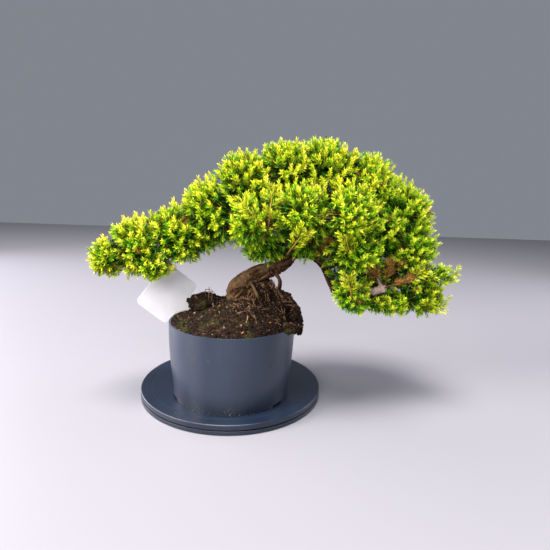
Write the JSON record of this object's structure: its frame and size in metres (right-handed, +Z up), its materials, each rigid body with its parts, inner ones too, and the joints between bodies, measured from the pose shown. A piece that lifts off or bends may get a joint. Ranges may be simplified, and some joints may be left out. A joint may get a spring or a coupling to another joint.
{
  "type": "juniper bonsai in a pot",
  "caption": "Japanese garden juniper bonsai with a leaning trunk and a wide crown, in a round plastic pot with a blank label, on a turntable that swivels.",
  "frame": {"origin": "the turntable's axis at the height of the surface that the turntable stands on", "axes": "+Z up along the turntable's axis; +X to the tree's right as seen from the front, along the crown's length; -Y towards the front"},
  "size_m": [0.4653, 0.25, 0.3472],
  "materials": {
    "turntable_plastic": "satin dark blue-grey plastic",
    "race_plastic": "smooth pale grey plastic",
    "pot_plastic": "satin blue-grey plastic",
    "soil": "moist dark brown potting soil with fine roots, bark and grit",
    "bark": "rough stringy red-brown bark",
    "label_plastic": "satin white plastic",
    "needles": "fresh yellow-green needles, darker inside"
  },
  "bodies": {
    "base": {"turntable_base": "turntable_plastic", "ball_race": "race_plastic"},
    "turning": {"turntable_plate": "turntable_plastic", "pot": "pot_plastic", "soil": "soil", "tree_wood": "bark", "plant_label": "label_plastic", "foliage_left_tip": "needles", "foliage_left_end": "needles", "foliage_left_under": "needles", "foliage_left_mid": "needles", "foliage_left_shoulder": "needles", "foliage_left_back": "needles", "foliage_crown_left": "needles", "foliage_crown_front_left": "needles", "foliage_crown_top_left": "needles", "foliage_crown_top": "needles", "foliage_crown_top_right": "needles", "foliage_crown_right": "needles", "foliage_crown_front": "needles", "foliage_crown_front_right": "needles", "foliage_crown_back_left": "needles", "foliage_crown_back": "needles", "foliage_crown_back_right": "needles", "foliage_right_back": "needles", "foliage_right_mid": "needles", "foliage_right_front": "needles", "foliage_right_drop": "needles", "foliage_right_bottom": "needles", "foliage_right_low": "needles", "foliage_right_spur": "needles", "foliage_inner_drop": "needles"}
  },
  "joints": [
    {"name": "turntable_swivel", "type": "hinge", "parent": "base", "child": "turning", "pos_m": [0, 0, 0.0085], "axis": [0, 0, 1], "continuous": true}
  ]
}
